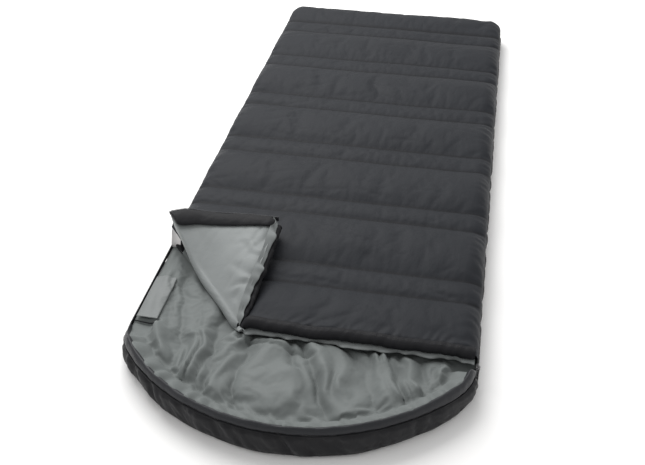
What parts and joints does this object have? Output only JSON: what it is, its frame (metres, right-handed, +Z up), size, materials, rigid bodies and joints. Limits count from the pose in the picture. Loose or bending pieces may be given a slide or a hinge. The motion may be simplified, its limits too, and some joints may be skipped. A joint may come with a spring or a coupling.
{
  "type": "rectangular sleeping bag",
  "caption": "Wide rectangular sleeping bag with a quilted cover, a rounded padded head rim, a zip round the sides and foot, and one corner of the cover folded back.",
  "frame": {"origin": "on the floor under the middle of the bag", "axes": "+Z up; +Y from the head end to the foot; +X across, towards the side with the closed zip"},
  "size_m": [0.85, 2.1999, 0.1608],
  "materials": {
    "shell_fabric": "dark charcoal woven polyester, slight sheen",
    "lining_fabric": "light grey satin-woven polyester",
    "filling": "lofted hollow-fibre wadding, matt white",
    "trim_fabric": "near-black binding and piping",
    "label_fabric": "white satin ribbon, blank",
    "zip_tape": "black woven tape",
    "zip_coil": "black nylon coil",
    "slider_metal": "black lacquered die-cast zinc"
  },
  "bodies": {
    "base": {"base_shell": "shell_fabric", "base_filling_lower": "filling", "base_filling_upper": "filling", "base_lining": "lining_fabric", "head_wall_shell": "shell_fabric", "rim_piping": "trim_fabric", "rim_shell": "shell_fabric", "rim_filling": "filling", "rim_lining": "lining_fabric", "inner_pocket": "lining_fabric", "care_label": "label_fabric", "lower_zip_tape": "zip_tape", "lower_zip_coil": "zip_coil", "right_zip_tape": "zip_tape", "right_zip_coil": "zip_coil", "zip_stops": "zip_coil"},
    "cover": {"cover_shell": "shell_fabric", "cover_filling_outer": "filling", "cover_filling_inner": "filling", "cover_lining": "lining_fabric", "cover_hem": "trim_fabric", "left_draft_tube": "shell_fabric", "left_draft_tube_filling": "filling", "right_draft_tube": "shell_fabric", "right_draft_tube_filling": "filling", "left_zip_tape": "zip_tape", "left_zip_coil": "zip_coil", "foot_zip_tape": "zip_tape", "foot_zip_coil": "zip_coil"},
    "corner_flap": {"corner_shell": "shell_fabric", "corner_filling_outer": "filling", "corner_filling_inner": "filling", "corner_lining": "lining_fabric", "corner_hem": "trim_fabric", "corner_draft_tube": "shell_fabric", "corner_draft_tube_filling": "filling", "corner_zip_tape": "zip_tape", "corner_zip_coil": "zip_coil"},
    "right_slider": {"right_slider_body": "slider_metal"},
    "right_pull_a": {"right_pull_head": "slider_metal"},
    "right_pull_b": {"right_pull_foot": "slider_metal"},
    "left_slider": {"left_slider_body": "slider_metal"},
    "left_pull_a": {"left_pull_head": "slider_metal"},
    "left_pull_b": {"left_pull_foot": "slider_metal"}
  },
  "joints": [
    {"name": "cover_open", "type": "hinge", "parent": "base", "child": "cover", "pos_m": [0.4225, 0, 0.0622], "axis": [0, 1, 0], "range_deg": [0, 165]},
    {"name": "corner_fold", "type": "hinge", "parent": "cover", "child": "corner_flap", "pos_m": [-0.418, -0.48, 0.10204], "axis": [0.7071, -0.7071, 0], "range_deg": [0, 180]},
    {"name": "right_slider_slide", "type": "slide", "parent": "base", "child": "right_slider", "axis": [0, 1, 0], "range_m": [0, 1.825]},
    {"name": "left_slider_slide", "type": "slide", "parent": "base", "child": "left_slider", "axis": [0, 1, 0], "range_m": [0, 1.465]},
    {"name": "right_pull_head_swing", "type": "hinge", "parent": "right_slider", "child": "right_pull_a", "pos_m": [0.423, -0.8066, 0.0501], "axis": [0, 1, 0], "range_deg": [-100, 0]},
    {"name": "right_pull_foot_swing", "type": "hinge", "parent": "right_slider", "child": "right_pull_b", "pos_m": [0.423, -0.8014, 0.0501], "axis": [0, 1, 0], "range_deg": [-100, 0]},
    {"name": "left_pull_head_swing", "type": "hinge", "parent": "left_slider", "child": "left_pull_a", "pos_m": [-0.423, -0.4606, 0.0501], "axis": [0, -1, 0], "range_deg": [-100, 0]},
    {"name": "left_pull_foot_swing", "type": "hinge", "parent": "left_slider", "child": "left_pull_b", "pos_m": [-0.423, -0.4554, 0.0501], "axis": [0, -1, 0], "range_deg": [-100, 0]}
  ]
}
